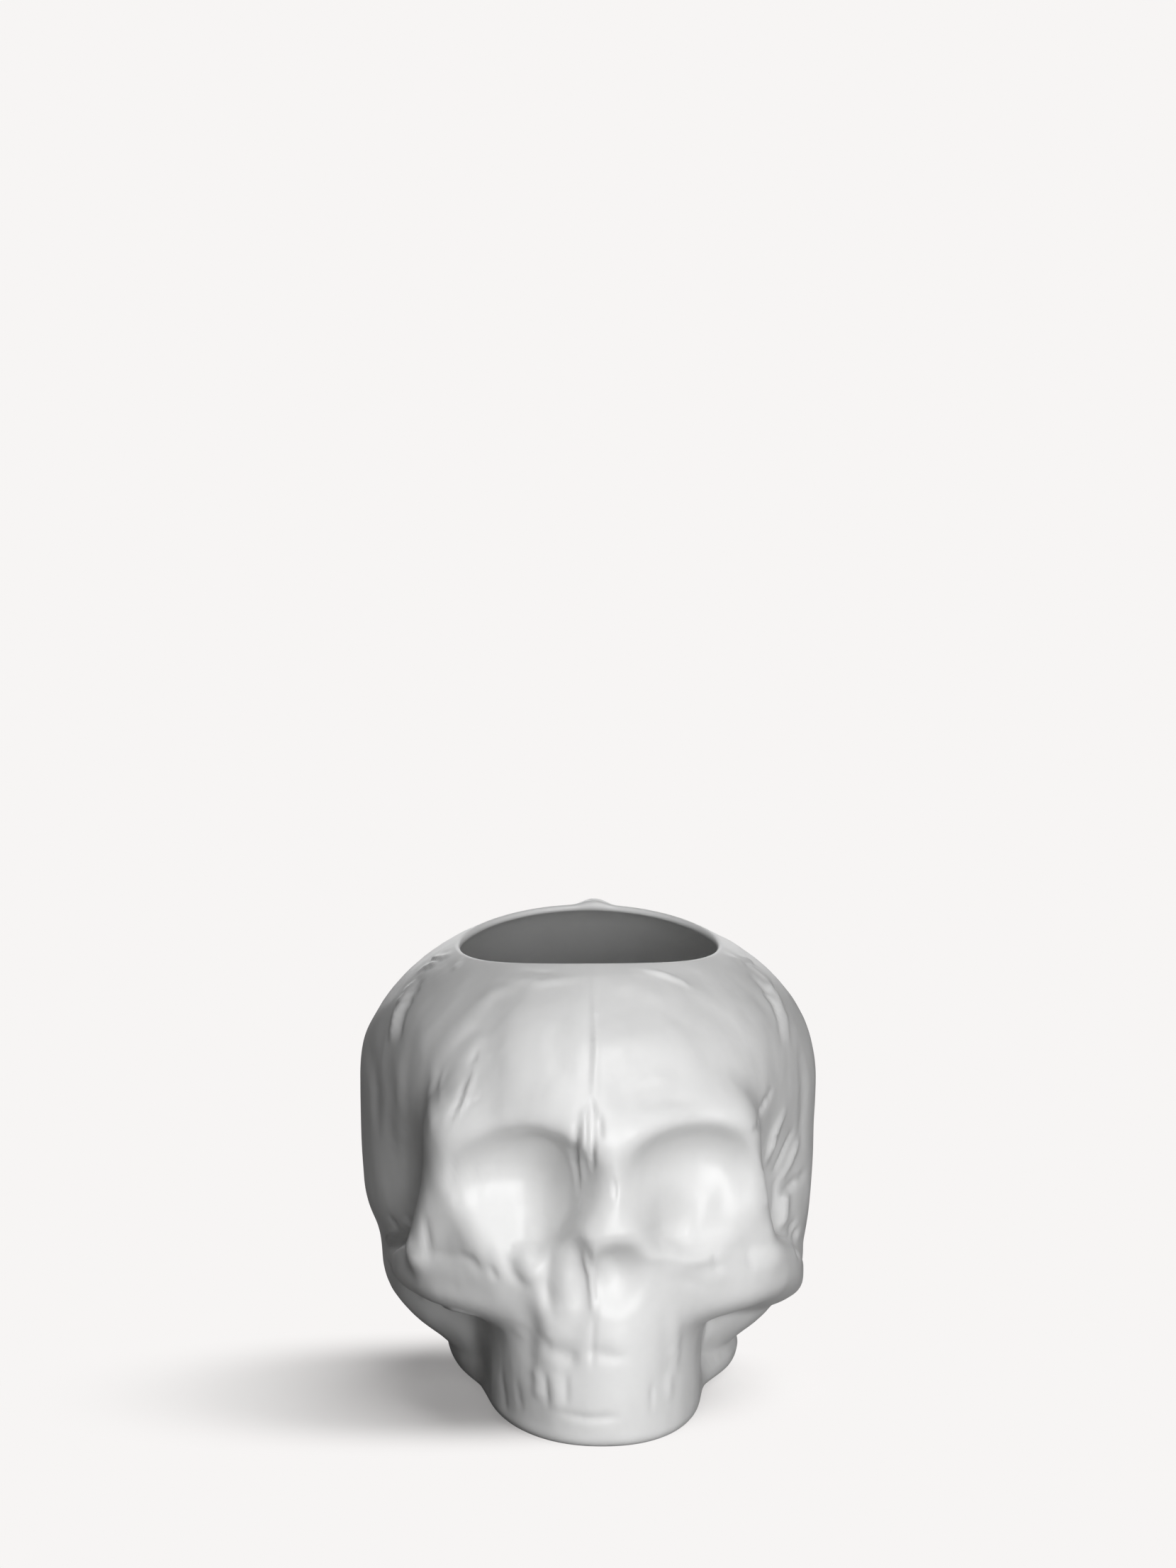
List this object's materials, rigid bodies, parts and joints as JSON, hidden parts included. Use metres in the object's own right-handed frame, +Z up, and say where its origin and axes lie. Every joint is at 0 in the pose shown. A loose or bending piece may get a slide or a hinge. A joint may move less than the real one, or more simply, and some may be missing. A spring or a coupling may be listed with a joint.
{
  "type": "candle holder",
  "caption": "Tea light holder in the form of a hollow skull without a lower jaw, in opaque white glass, open at the crown and flat underneath.",
  "frame": {"origin": "on the table, under the middle of the bounding box", "axes": "+X across the face, the face looks along -Y, +Z up from the table towards the open crown"},
  "size_m": [0.1108, 0.1314, 0.1084],
  "materials": {
    "opal_glass": "gloss"
  },
  "bodies": {
    "root": {"skull": "opal_glass"}
  },
  "joints": []
}
